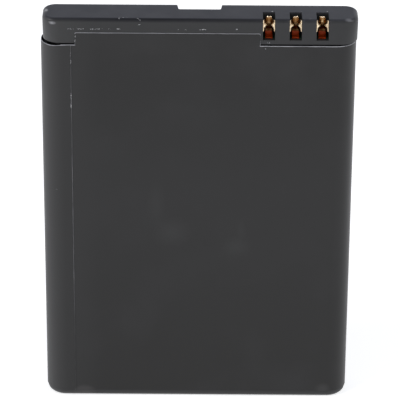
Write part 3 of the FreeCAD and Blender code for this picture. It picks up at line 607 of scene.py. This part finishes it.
# painted light on the label's left flank: a painted sheen that grows towards the left side, then
# painted shade on its outermost round
zone(film_look, (0.0200, 0.0198, 0.0198), LEFTWARD, 13.0, 18.0)
zone(film_look, (0.0350, 0.0345, 0.0345), LEFTWARD, 17.8, 19.5)
zone(film_look, (0.0060, 0.0060, 0.0060), LEFTWARD, 20.05, 20.55)
for centre, reach, shade in PALER_PATCHES:
    spot(film_look, (shade, shade, shade), centre, reach, 0.5)
# a painted highlight arc round the blister, as a pale spot with a darker core, and a fainter
# painted highlight by the right-hand corner
spot(film_look, (0.060, 0.057, 0.057), BLISTER_HIGHLIGHT, BLISTER_HIGHLIGHT_REACH, 0.1)
spot(film_look, (0.028, 0.026, 0.0265), BLISTER_HIGHLIGHT, BLISTER_HIGHLIGHT_CORE, 0.1)
spot(film_look, (0.030, 0.029, 0.029), (17.5, -2.8, 1.4), (1.30, 1.0, 1.10), 0.1)
film_core = grained("film_core", (0.24, 0.24, 0.26), (0.44, 0.44, 0.46), (0.45, 0.6),
                    scale=9000.0, bump=0.1)
label = linked("label_film", mesh_of(film, "label_film"))
for look in (film_look, film_core):
    label.data.materials.append(look[0])
dress_piece(label, ("label_wrap",))


# Moulded caps
# Two injection-moulded parts in black polycarbonate: the top cap, which holds the board and has
# the three contact slots and the latch notch, and the thin strip under the cell.
FOOT_LEVEL, FOOT_RISE = 52.9, 0.26
SLOT_BACK, SLOT_DEEPER = -0.4, 0.4
SLOTS_FROM, SLOTS_TO = 8.3, 17.1
NOTCH_FROM, NOTCH_TO, NOTCH_BACK, NOTCH_FLOOR = -3.2, 3.8, 0.8, 55.3
NOTCH_SHIFT = -0.2
ON_FACE = 0.01
SAME_POINT, SAME_PLANE = 2e-7, math.radians(0.4)
EDGE_ROUND, SHARP_EDGE, ROUND_STEPS = 0.05, math.radians(35), 2


def moulded_copy(node, name, material):
    """The part's own solid with its moulded edges slightly rounded."""
    bm = bmesh.new()
    bm.from_mesh(NODES[node].data)
    bmesh.ops.remove_doubles(bm, verts=bm.verts, dist=SAME_POINT)
    bmesh.ops.dissolve_limit(bm, angle_limit=SAME_PLANE, verts=bm.verts, edges=bm.edges)
    for vert in bm.verts:
        if abs(vert.co.z - FOOT_LEVEL * MM) < ON_FACE * MM:
            vert.co.z += FOOT_RISE * MM
        if (SLOTS_FROM * MM < vert.co.x < SLOTS_TO * MM
                and abs(vert.co.y - SLOT_BACK * MM) < ON_FACE * MM):
            vert.co.y += SLOT_DEEPER * MM
        if (NOTCH_FROM * MM < vert.co.x < NOTCH_TO * MM
                and vert.co.y > NOTCH_BACK * MM and vert.co.z > NOTCH_FLOOR * MM):
            vert.co.x += NOTCH_SHIFT * MM
    for face in bm.faces:
        face.smooth = True
        face.material_index = 0
    core = linked(name + "_core", mesh_of(bm, name + "_core"))
    rounding = core.modifiers.new("rounding", "BEVEL")
    rounding.width = EDGE_ROUND * MM
    rounding.segments = ROUND_STEPS
    rounding.limit_method = "ANGLE"
    rounding.angle_limit = SHARP_EDGE
    weighting = core.modifiers.new("weighting", "WEIGHTED_NORMAL")
    weighting.weight = 80
    graph = bpy.context.evaluated_depsgraph_get()
    finished = bpy.data.meshes.new_from_object(core.evaluated_get(graph), depsgraph=graph,
                                               preserve_all_data_layers=True)
    bpy.data.objects.remove(core)
    finished.name = name
    finished.materials.clear()
    finished.materials.append(material)
    dress_piece(linked(name, finished), (node,))


# painted light and shade on the cap: a painted highlight on the rear edge's rim and painted shade
# on the line behind it, the blister's painted highlight where it reaches the strip, painted
# highlights on both side rims, painted shade for the black gap under the feet, painted shade along
# the front edge, and three painted highlights on the left rim and front corners
CAP_PAINTED_LIGHT = (
    ((0.052, 0.052, 0.060), (0.0, 2.25, 56.6), (35.0, 0.6, 0.6), 0.2),
    ((0.008, 0.008, 0.012), (0.0, 2.85, 56.6), (45.0, 0.36, 0.8), 0.2),
    ((0.040, 0.038, 0.038), BLISTER_HIGHLIGHT, BLISTER_HIGHLIGHT_REACH, 0.1),
    ((0.10, 0.10, 0.105), (-20.2, 0.2, 56.3), (0.65, 3.0, 0.65), 0.2),
    ((0.10, 0.10, 0.105), (20.6, 0.2, 56.3), (0.65, 3.0, 0.65), 0.2),
    ((0.002, 0.002, 0.002), (0.0, 0.0, 52.70), (1000.0, 1000.0, 0.56), 0.0),
    ((0.005, 0.005, 0.007), (-4.0, -2.50, 56.36), (30.0, 0.34, 0.48), 0.15),
    ((0.32, 0.32, 0.33), (-20.00, 0.17, 56.55), (0.40, 0.7, 0.50), 0.35),
    ((0.26, 0.26, 0.27), (-19.08, -2.58, 55.97), (0.70, 0.6, 0.32), 0.35),
    ((0.12, 0.12, 0.13), (19.52, -2.32, 56.50), (0.70, 0.6, 0.32), 0.35),
)
cap_look = grained("moulded_black", (0.0152, 0.0155, 0.0160), (0.0212, 0.0215, 0.0222),
                   (0.42, 0.50), scale=6000.0, bump=0.12, specular=0.38)
# a painted sheen on the cap's left side, as lit from the left
zone(cap_look, (0.028, 0.028, 0.028), LEFTWARD, 14.0, 18.5)
zone(cap_look, (0.042, 0.042, 0.043), LEFTWARD, 18.2, 19.6)
# painted light: the end face is lighter and bluer, as lit from above
zone(cap_look, (0.0325, 0.0333, 0.0398), UPWARD, 56.35, 56.58)
for colour, centre, reach, broken in CAP_PAINTED_LIGHT:
    spot(cap_look, colour, centre, reach, broken)
moulded_copy("top_cap", "cap_moulding", cap_look[0])
moulded_copy("bottom_cap", "base_moulding", cap_look[0])


# Contacts
# Three fork contacts pressed from thin spring bronze and plated with gold over nickel. A tongue
# stands at the back of each slot, and two ears in front of it pinch together for the blade.
CONTACT_NODES = ("contact_negative", "contact_sense", "contact_positive")
SLOT_PITCH = 3.5
FIRST_SLOT = 9.18
SHEET, EAR_SHEET = 0.15, 0.15 * 0.8
TONGUE_HALF = 0.46
TONGUE_TIP = (-0.95, 56.42)
TONGUE_BEND = (-0.62, 54.60)
TONGUE_CURVE, TONGUE_BULGE = 1.4, 0.07
TIP_ROUND, TIP_FLAT = 0.34, 0.01
RAMP_ROUND = 0.8
FOOT_END = -1.90
FOOT_TOP = 53.80
TONGUE_STEPS, RAMP_STEPS, TONGUE_COLUMNS = 12, 8, 8
EAR_LEVELS = (54.60, 56.20)
ROOT_TOP = 55.70
PINCH_LEVEL = 55.42
PINCH_HALF, OPEN_HALF, LIP_HALF = 0.20, 0.54, 0.64
PINCH_TALL, PINCH_CURVE = 0.34, 1.15
EAR_ROOT = (0.40, -0.68)
EAR_CURVE_FRONT = -1.1
PINCH_FRONT = -1.62
LIP_SIDE, LIP_FRONT, LIP_BACK = 0.77, -1.90, 0.05
LIP_CURVE_SIDE, LIP_CURVE_FRONT = 0.03, -1.84
EAR_STEPS, ARM_STEPS, LIP_STEPS = 24, 6, 7
FORK_EDGE_ROUND, FORK_SHARP_EDGE = 0.025, math.radians(50)


def sheet_metal(bm, rows, thickness):
    """A closed thin sheet whose front is a grid of points; it is laid behind them."""
    count, width = len(rows), len(rows[0])
    back = []
    for row in range(count):
        line = []
        for column in range(width):
            up = rows[min(row + 1, count - 1)][column] - rows[max(row - 1, 0)][column]
            side = rows[row][min(column + 1, width - 1)] - rows[row][max(column - 1, 0)]
            normal = up.cross(side).normalized()
            line.append(rows[row][column] + normal * thickness)
        back.append(line)
    front = [[bm.verts.new(point * MM) for point in line] for line in rows]
    rear = [[bm.verts.new(point * MM) for point in line] for line in back]
    made = []
    for row in range(count - 1):
        for column in range(width - 1):
            made.append((front[row][column], front[row][column + 1],
                         front[row + 1][column + 1], front[row + 1][column]))
            made.append((rear[row][column], rear[row + 1][column],
                         rear[row + 1][column + 1], rear[row][column + 1]))
    edge = ([(0, column) for column in range(width)]
            + [(row, width - 1) for row in range(1, count)]
            + [(count - 1, column) for column in range(width - 2, -1, -1)]
            + [(row, 0) for row in range(count - 2, 0, -1)])
    for place, (row, column) in enumerate(edge):
        next_row, next_column = edge[(place + 1) % len(edge)]
        made.append((front[row][column], rear[row][column],
                     rear[next_row][next_column], front[next_row][next_column]))
    for corners in made:
        bm.faces.new(corners)


def bent(start, control, end, share):
    """A point on a curve from start to end, pulled towards the control point."""
    return start.lerp(control, share).lerp(control.lerp(end, share), share)


fork = bmesh.new()
profile = []
for step in range(TONGUE_STEPS + 1):
    share = step / TONGUE_STEPS
    profile.append((TONGUE_TIP[0] + (TONGUE_BEND[0] - TONGUE_TIP[0]) * share ** TONGUE_CURVE,
                    TONGUE_TIP[1] + (TONGUE_BEND[1] - TONGUE_TIP[1]) * share))
for step in range(1, RAMP_STEPS + 1):
    angle = math.pi / 2 * step / RAMP_STEPS
    profile.append((TONGUE_BEND[0] - RAMP_ROUND * (1 - math.cos(angle)),
                    TONGUE_BEND[1] - RAMP_ROUND * math.sin(angle)))
profile.append((FOOT_END, FOOT_TOP))
tongue_rows = []
for deep, high in profile:
    short = max(TIP_ROUND - (TONGUE_TIP[1] - high) - TIP_FLAT, 0.0)
    reach = TONGUE_HALF - TIP_ROUND + math.sqrt(TIP_ROUND ** 2 - short ** 2)
    line = []
    for column in range(TONGUE_COLUMNS + 1):
        across = 2 * column / TONGUE_COLUMNS - 1
        bulge = TONGUE_BULGE * (1 - across * across) * (1 if high > TONGUE_BEND[1] else 0)
        line.append(Vector((across * reach, deep - bulge, high)))
    tongue_rows.append(line)
sheet_metal(fork, tongue_rows, -SHEET)

for side in (1, -1):
    ear_rows = []
    for step in range(EAR_STEPS + 1):
        share = step / EAR_STEPS
        high = EAR_LEVELS[0] + (EAR_LEVELS[1] - EAR_LEVELS[0]) * share
        root_high = EAR_LEVELS[0] + (ROOT_TOP - EAR_LEVELS[0]) * share
        away = abs(high - PINCH_LEVEL)
        near = min(away / PINCH_TALL, 1.0)
        gap = PINCH_HALF + (OPEN_HALF - PINCH_HALF) * near ** PINCH_CURVE
        gap += (LIP_HALF - OPEN_HALF) * max(away - PINCH_TALL, 0.0) / (EAR_LEVELS[1] - PINCH_LEVEL)
        root = Vector((*EAR_ROOT, root_high))
        pinch = Vector((gap, PINCH_FRONT, high))
        lip = Vector((LIP_SIDE, LIP_FRONT + LIP_BACK * near, high))
        arm_curve = Vector((gap, EAR_CURVE_FRONT, (high + root_high) / 2))
        lip_curve = Vector((gap + LIP_CURVE_SIDE, LIP_CURVE_FRONT, high))
        line = [bent(root, arm_curve, pinch, part / ARM_STEPS) for part in range(ARM_STEPS)]
        line += [bent(pinch, lip_curve, lip, part / LIP_STEPS) for part in range(LIP_STEPS + 1)]
        ear_rows.append([Vector((point.x * side, point.y, point.z)) for point in line])
    sheet_metal(fork, ear_rows, EAR_SHEET * side)
bmesh.ops.recalc_face_normals(fork, faces=fork.faces)
for face in fork.faces:
    face.smooth = True

gold_look = grained("gold_plate", (0.19, 0.095, 0.033), (0.27, 0.145, 0.058),
                    (0.24, 0.36), scale=12000.0, bump=0.08, metallic=1.0)
patches(gold_look, (0.58, 0.40, 0.21), 2600.0, 0.52, 0.66)
# a painted highlight on the tongue's rounded tip
zone(gold_look, (0.86, 0.68, 0.48), UPWARD, 56.24, 56.34)
# painted shade low in the slot, below the pinch
zone(gold_look, (0.058, 0.026, 0.008), UPWARD, 55.45, 55.00)
# painted highlights on the ears' lips at the front
zone(gold_look, (0.88, 0.71, 0.48), BACKWARD, -1.25, -1.58)
patches(gold_look, (0.22, 0.12, 0.05), 1500.0, 0.48, 0.72)
# a painted red reflection, as between gold faces, on the slot's floor, which is made less metallic
# to show it
zone(gold_look, (0.64, 0.066, 0.003), UPWARD, 54.34, 54.12)
zone(gold_look, (0.30, 0.30, 0.30), UPWARD, 54.34, 54.12, socket="Metallic")

forks = linked("fork_contacts", mesh_of(fork, "fork_contacts"))
edges = forks.modifiers.new("edges", "BEVEL")
edges.width = FORK_EDGE_ROUND * MM
edges.segments = ROUND_STEPS
edges.limit_method = "ANGLE"
edges.angle_limit = FORK_SHARP_EDGE

tree, source, result, sockets = new_group(
    "GeometryNodeTree", "row_of_contacts",
    (("Geometry", "Geometry"), ("Count", "Int"), ("First", "Vector"), ("Pitch", "Vector"),
     ("Material", "Material")), (("Geometry", "Geometry"),))
nodes, links = tree.nodes, tree.links
line = nodes.new("GeometryNodeMeshLine")
repeat = nodes.new("GeometryNodeInstanceOnPoints")
realize = nodes.new("GeometryNodeRealizeInstances")
paint = nodes.new("GeometryNodeSetMaterial")
links.new(source.outputs["Count"], line.inputs["Count"])
links.new(source.outputs["First"], line.inputs["Start Location"])
links.new(source.outputs["Pitch"], line.inputs["Offset"])
links.new(line.outputs["Mesh"], repeat.inputs["Points"])
links.new(source.outputs["Geometry"], repeat.inputs["Instance"])
links.new(repeat.outputs["Instances"], realize.inputs["Geometry"])
links.new(realize.outputs["Geometry"], paint.inputs["Geometry"])
links.new(source.outputs["Material"], paint.inputs["Material"])
links.new(paint.outputs["Geometry"], result.inputs["Geometry"])


def grow(piece, group, sockets, **values):
    """Run geometry nodes on a piece and keep what comes out as its own plain mesh."""
    growth = piece.modifiers.new(group.name, "NODES")
    growth.node_group = group
    for label, value in values.items():
        growth[sockets[label].identifier] = value
    graph = bpy.context.evaluated_depsgraph_get()
    made = bpy.data.meshes.new_from_object(piece.evaluated_get(graph), depsgraph=graph)
    piece.modifiers.clear()
    piece.data = made
    made.name = piece.name


grow(forks, tree, sockets, Count=len(CONTACT_NODES), First=(FIRST_SLOT * MM, 0.0, 0.0),
     Pitch=(SLOT_PITCH * MM, 0.0, 0.0), Material=gold_look[0])
dress_piece(forks, CONTACT_NODES)


# Wear
# Pale flecks of dust and scuffed plastic: a broken row of them over the label's tab, scratches on
# the cap's near edge, and single ones by the slots, the feet and the seam.
CAP_FRONT, LABEL_FRONT, END_FACE = -2.70, -2.80, 56.60
FLECK_ROWS = (
    ((-17.05, CAP_FRONT, 55.15), (-16.50, CAP_FRONT, 55.15)),
    ((-16.30, CAP_FRONT, 55.15), (-16.05, CAP_FRONT, 55.15)),
    ((-15.75, CAP_FRONT, 55.16), (-14.95, CAP_FRONT, 55.16)),
    ((-14.05, CAP_FRONT, 55.17), (-12.85, CAP_FRONT, 55.17)),
    ((-12.55, CAP_FRONT, 55.18), (-12.40, CAP_FRONT, 55.18)),
    ((-11.72, CAP_FRONT, 55.18), (-11.50, CAP_FRONT, 55.18)),
    ((-10.65, CAP_FRONT, 55.19), (-10.00, CAP_FRONT, 55.19)),
    ((-2.64, CAP_FRONT, 55.16), (-2.50, CAP_FRONT, 55.16)),
    ((-1.72, CAP_FRONT, 55.12), (-1.55, CAP_FRONT, 55.18)),
    ((0.15, CAP_FRONT, 55.17), (0.95, CAP_FRONT, 55.20)),
    ((4.85, CAP_FRONT, 55.25), (5.05, CAP_FRONT, 55.25)),
    ((-10.30, -2.12, END_FACE), (-9.85, -2.22, END_FACE), (-9.25, -2.20, END_FACE)),
    ((-10.36, -2.35, END_FACE), (-10.34, -2.60, 56.50)),
    ((-7.93, -2.40, 56.56), (-7.62, -2.60, 56.39), (-7.30, CAP_FRONT, 56.02)),
    ((-7.78, CAP_FRONT, 55.82), (-7.66, CAP_FRONT, 55.86)),
    ((9.60, 0.12, END_FACE), (9.80, 0.20, END_FACE)),
    ((13.22, 0.14, END_FACE), (13.40, 0.20, END_FACE)),
    ((16.70, 0.12, END_FACE), (16.86, 0.20, END_FACE)),
    ((14.45, -2.22, 56.58), (14.60, -2.22, 56.58)),
    ((14.45, CAP_FRONT, 53.36), (14.62, CAP_FRONT, 53.36)),
    ((19.02, CAP_FRONT + 0.16, 53.50), (19.16, CAP_FRONT + 0.19, 53.50)),
    ((8.85, CAP_FRONT, 53.36), (9.30, CAP_FRONT, 53.38)),
    ((8.70, LABEL_FRONT, 52.57), (8.80, LABEL_FRONT, 52.57)),
    ((-16.14, LABEL_FRONT, 53.30), (-16.10, LABEL_FRONT, 54.20)),
    ((-16.74, -2.90, 51.90), (-16.74, -2.90, 50.20)),
    ((-16.74, -2.90, 46.00), (-16.74, -2.90, 44.00)),
    ((-18.84, LABEL_FRONT + 0.02, 31.98), (-18.78, LABEL_FRONT + 0.02, 31.98)),
    ((19.16, -2.58, 23.05), (19.22, -2.57, 23.05)),
)
FLECK_SPACING, FLECK_SPREAD, FLECKS_GONE, FLECK_SEED = 0.085, 0.035, 0.42, 7
SMALLEST_FLECK, LARGEST_FLECK = (0.04, 0.02, 0.03), (0.20, 0.05, 0.13)
FLECK_STRAY = Vector((1, 0.2, 1))
CHIP_RADIUS = 0.5
FLECK_TURN = (0.5, math.tau, 0.5)

paths = bmesh.new()
for row in FLECK_ROWS:
    made = [paths.verts.new(Vector(point) * MM) for point in row]
    for first, second in zip(made, made[1:]):
        paths.edges.new((first, second))
flecks = linked("scuff_flecks", mesh_of(paths, "scuff_flecks"))

tree, source, result, sockets = new_group(
    "GeometryNodeTree", "flecks_along_rows",
    (("Geometry", "Geometry"), ("Spacing", "Float"), ("Spread", "Float"), ("Gone", "Float"),
     ("Smallest", "Vector"), ("Largest", "Vector"), ("Seed", "Int"), ("Material", "Material")),
    (("Geometry", "Geometry"),))
nodes, links = tree.nodes, tree.links


def chance(kind, step):
    """A random value with its own step of the seed."""
    value = nodes.new("FunctionNodeRandomValue")
    value.data_type = kind
    count = nodes.new("ShaderNodeMath")
    count.operation = "ADD"
    count.inputs[1].default_value = step
    links.new(source.outputs["Seed"], count.inputs[0])
    links.new(count.outputs[0], value.inputs["Seed"])
    return value


track = nodes.new("GeometryNodeMeshToCurve")
along = nodes.new("GeometryNodeCurveToPoints")
along.mode = "LENGTH"
nudge = nodes.new("GeometryNodeSetPosition")
aside = chance("FLOAT_VECTOR", 1)
aside.inputs["Min"].default_value = -FLECK_STRAY
aside.inputs["Max"].default_value = FLECK_STRAY
shift = nodes.new("ShaderNodeVectorMath")
shift.operation = "SCALE"
thin = nodes.new("GeometryNodeDeleteGeometry")
thin.domain = "POINT"
missing = chance("BOOLEAN", 2)
chip = nodes.new("GeometryNodeMeshIcoSphere")
chip.inputs["Radius"].default_value = CHIP_RADIUS
chip.inputs["Subdivisions"].default_value = 1
spin = chance("FLOAT_VECTOR", 3)
spin.inputs["Max"].default_value = FLECK_TURN
turned = nodes.new("FunctionNodeEulerToRotation")
size = chance("FLOAT_VECTOR", 4)
repeat = nodes.new("GeometryNodeInstanceOnPoints")
realize = nodes.new("GeometryNodeRealizeInstances")
paint = nodes.new("GeometryNodeSetMaterial")
links.new(source.outputs["Geometry"], track.inputs["Mesh"])
links.new(track.outputs["Curve"], along.inputs["Curve"])
links.new(source.outputs["Spacing"], along.inputs["Length"])
links.new(along.outputs["Points"], nudge.inputs["Geometry"])
links.new(aside.outputs["Value"], shift.inputs[0])
links.new(source.outputs["Spread"], shift.inputs["Scale"])
links.new(shift.outputs["Vector"], nudge.inputs["Offset"])
links.new(source.outputs["Gone"], missing.inputs["Probability"])
links.new(nudge.outputs["Geometry"], thin.inputs["Geometry"])
links.new(next(o for o in missing.outputs if o.enabled), thin.inputs["Selection"])
links.new(source.outputs["Smallest"], size.inputs["Min"])
links.new(source.outputs["Largest"], size.inputs["Max"])
links.new(spin.outputs["Value"], turned.inputs[0])
links.new(thin.outputs["Geometry"], repeat.inputs["Points"])
links.new(chip.outputs["Mesh"], repeat.inputs["Instance"])
links.new(turned.outputs[0], repeat.inputs["Rotation"])
links.new(size.outputs["Value"], repeat.inputs["Scale"])
links.new(repeat.outputs["Instances"], realize.inputs["Geometry"])
links.new(realize.outputs["Geometry"], paint.inputs["Geometry"])
links.new(source.outputs["Material"], paint.inputs["Material"])
links.new(paint.outputs["Geometry"], result.inputs["Geometry"])

fleck_look = grained("pale_flecks", (0.20, 0.20, 0.21), (0.72, 0.72, 0.73), (0.6, 0.8),
                     scale=9000.0, bump=0.2)
grow(flecks, tree, sockets, Spacing=FLECK_SPACING * MM, Spread=FLECK_SPREAD * MM,
     Gone=FLECKS_GONE, Smallest=[value * MM for value in SMALLEST_FLECK],
     Largest=[value * MM for value in LARGEST_FLECK], Seed=FLECK_SEED, Material=fleck_look[0])
dress_piece(flecks, ("top_cap",))


# Cell
# A deep-drawn aluminium can with its lid welded in, the wound roll inside it and the riveted
# terminal. Drawing leaves fine streaks up the can, rolling leaves them along the nickel. The
# can's upper rim and the lid's left end are painted black, as painted shade in the gap under the
# cap.
STREAKS_UP, STREAKS_UP_FINE, STREAKS_ALONG = (1.0, 1.0, 0.04), (1.0, 1.0, 0.02), (0.05, 1.0, 1.0)
PAINTED_GAP_SHADE = (0.008, 0.008, 0.009)
BARE_COPPER = (0.42, 0.20, 0.10)


def coat(look, *names):
    """Give nodes that are shown as they are a finished material in all their slots."""
    for name in names:
        for slot in NODES[name].material_slots:
            slot.material = look[0]


drawn_aluminium = grained("drawn_aluminium", (0.62, 0.63, 0.64), (0.80, 0.81, 0.82), (0.26, 0.42),
                          scale=3000.0, bump=0.06, metallic=1.0, drawn=STREAKS_UP)
pressed_aluminium = grained("pressed_aluminium", (0.66, 0.67, 0.68), (0.82, 0.83, 0.84),
                            (0.30, 0.45), scale=5000.0, bump=0.08, metallic=1.0)
rolled_nickel = grained("rolled_nickel", (0.52, 0.49, 0.45), (0.68, 0.65, 0.61), (0.22, 0.36),
                        scale=4000.0, bump=0.06, metallic=1.0, drawn=STREAKS_ALONG)
natural_nylon = grained("natural_nylon", (0.72, 0.71, 0.66), (0.84, 0.83, 0.79), (0.45, 0.60),
                        scale=3500.0, bump=0.05)
paper_tape = grained("paper_tape", (0.66, 0.64, 0.57), (0.82, 0.80, 0.74), (0.70, 0.85),
                     scale=7000.0, bump=0.25)
wound_foil = grained("wound_foil", (0.055, 0.055, 0.06), (0.15, 0.14, 0.14), (0.45, 0.65),
                     scale=6000.0, bump=0.20, drawn=STREAKS_UP_FINE)
zone(wound_foil, BARE_COPPER, UPWARD, 50.2, 50.8)
# painted shade: the can's upper rim and the lid's left end show black in the gap under the cap
zone(drawn_aluminium, PAINTED_GAP_SHADE, UPWARD, 51.9, 52.2)
zone(pressed_aluminium, PAINTED_GAP_SHADE, LEFTWARD, 19.2, 19.6)
coat(drawn_aluminium, "cell_can")
coat(pressed_aluminium, "cell_lid", "fill_plug", "roll_positive_lead")
coat(rolled_nickel, "negative_terminal", "terminal_plate", "roll_negative_lead", "clad_plate",
     "positive_strip", "negative_strip", "fuse_strip")
coat(natural_nylon, "terminal_gasket", "plate_insulator", "roll_insulator")
coat(paper_tape, "lid_insulator", "bottom_tape")
coat(wound_foil, "electrode_roll")


# Protection board
# A glass-fibre board under green lacquer with two chips, small resistors, capacitors and a
# thermistor soldered on. The board and the nickel strip beside it rest on foam pads on the lid,
# in the cap's hollow.
TINNED_SHARE, TIN_HARDNESS, TIN = 0.22, 0.9, (0.62, 0.61, 0.59)
RESISTOR_BODY = ((0.018, 0.018, 0.020), (0.034, 0.034, 0.036))
CERAMIC_BODY = ((0.30, 0.22, 0.15), (0.44, 0.34, 0.25))
CHIP_COMPONENTS = (
    ("resistor_1", RESISTOR_BODY), ("resistor_2", RESISTOR_BODY), ("resistor_3", RESISTOR_BODY),
    ("capacitor_1", CERAMIC_BODY), ("capacitor_2", CERAMIC_BODY), ("thermistor", CERAMIC_BODY),
)

board_lacquer = grained("board_lacquer", (0.007, 0.022, 0.013), (0.016, 0.046, 0.026),
                        (0.28, 0.40), scale=5000.0, bump=0.10)
patches(board_lacquer, (0.020, 0.062, 0.034), 1400.0, 0.50, 0.54)
chip_epoxy = grained("chip_epoxy", (0.016, 0.016, 0.017), (0.030, 0.030, 0.031), (0.50, 0.65),
                     scale=14000.0, bump=0.15)
open_foam = grained("open_foam", (0.015, 0.015, 0.016), (0.045, 0.045, 0.047), (0.85, 0.95),
                    scale=9000.0, bump=0.60)
coat(board_lacquer, "circuit_board")
coat(chip_epoxy, "protection_chip", "mosfet_chip", "thermal_fuse")
coat(open_foam, "strip_pad", "board_pad")

# each small component has a body of its own colour between two tinned ends
for name, (dark, light) in CHIP_COMPONENTS:
    look = grained(name + "_body", dark, light, (0.35, 0.50), scale=12000.0, bump=0.08)
    low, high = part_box(name)
    reach = TINNED_SHARE * (high[0] - low[0])
    for side, edge in ((-1.0, -low[0]), (1.0, high[0])):
        lay_over(look, fading_zone, TIN, Along=(side, 0.0, 0.0),
                 Start=edge - reach, End=edge - TIN_HARDNESS * reach)
    coat(look, name)
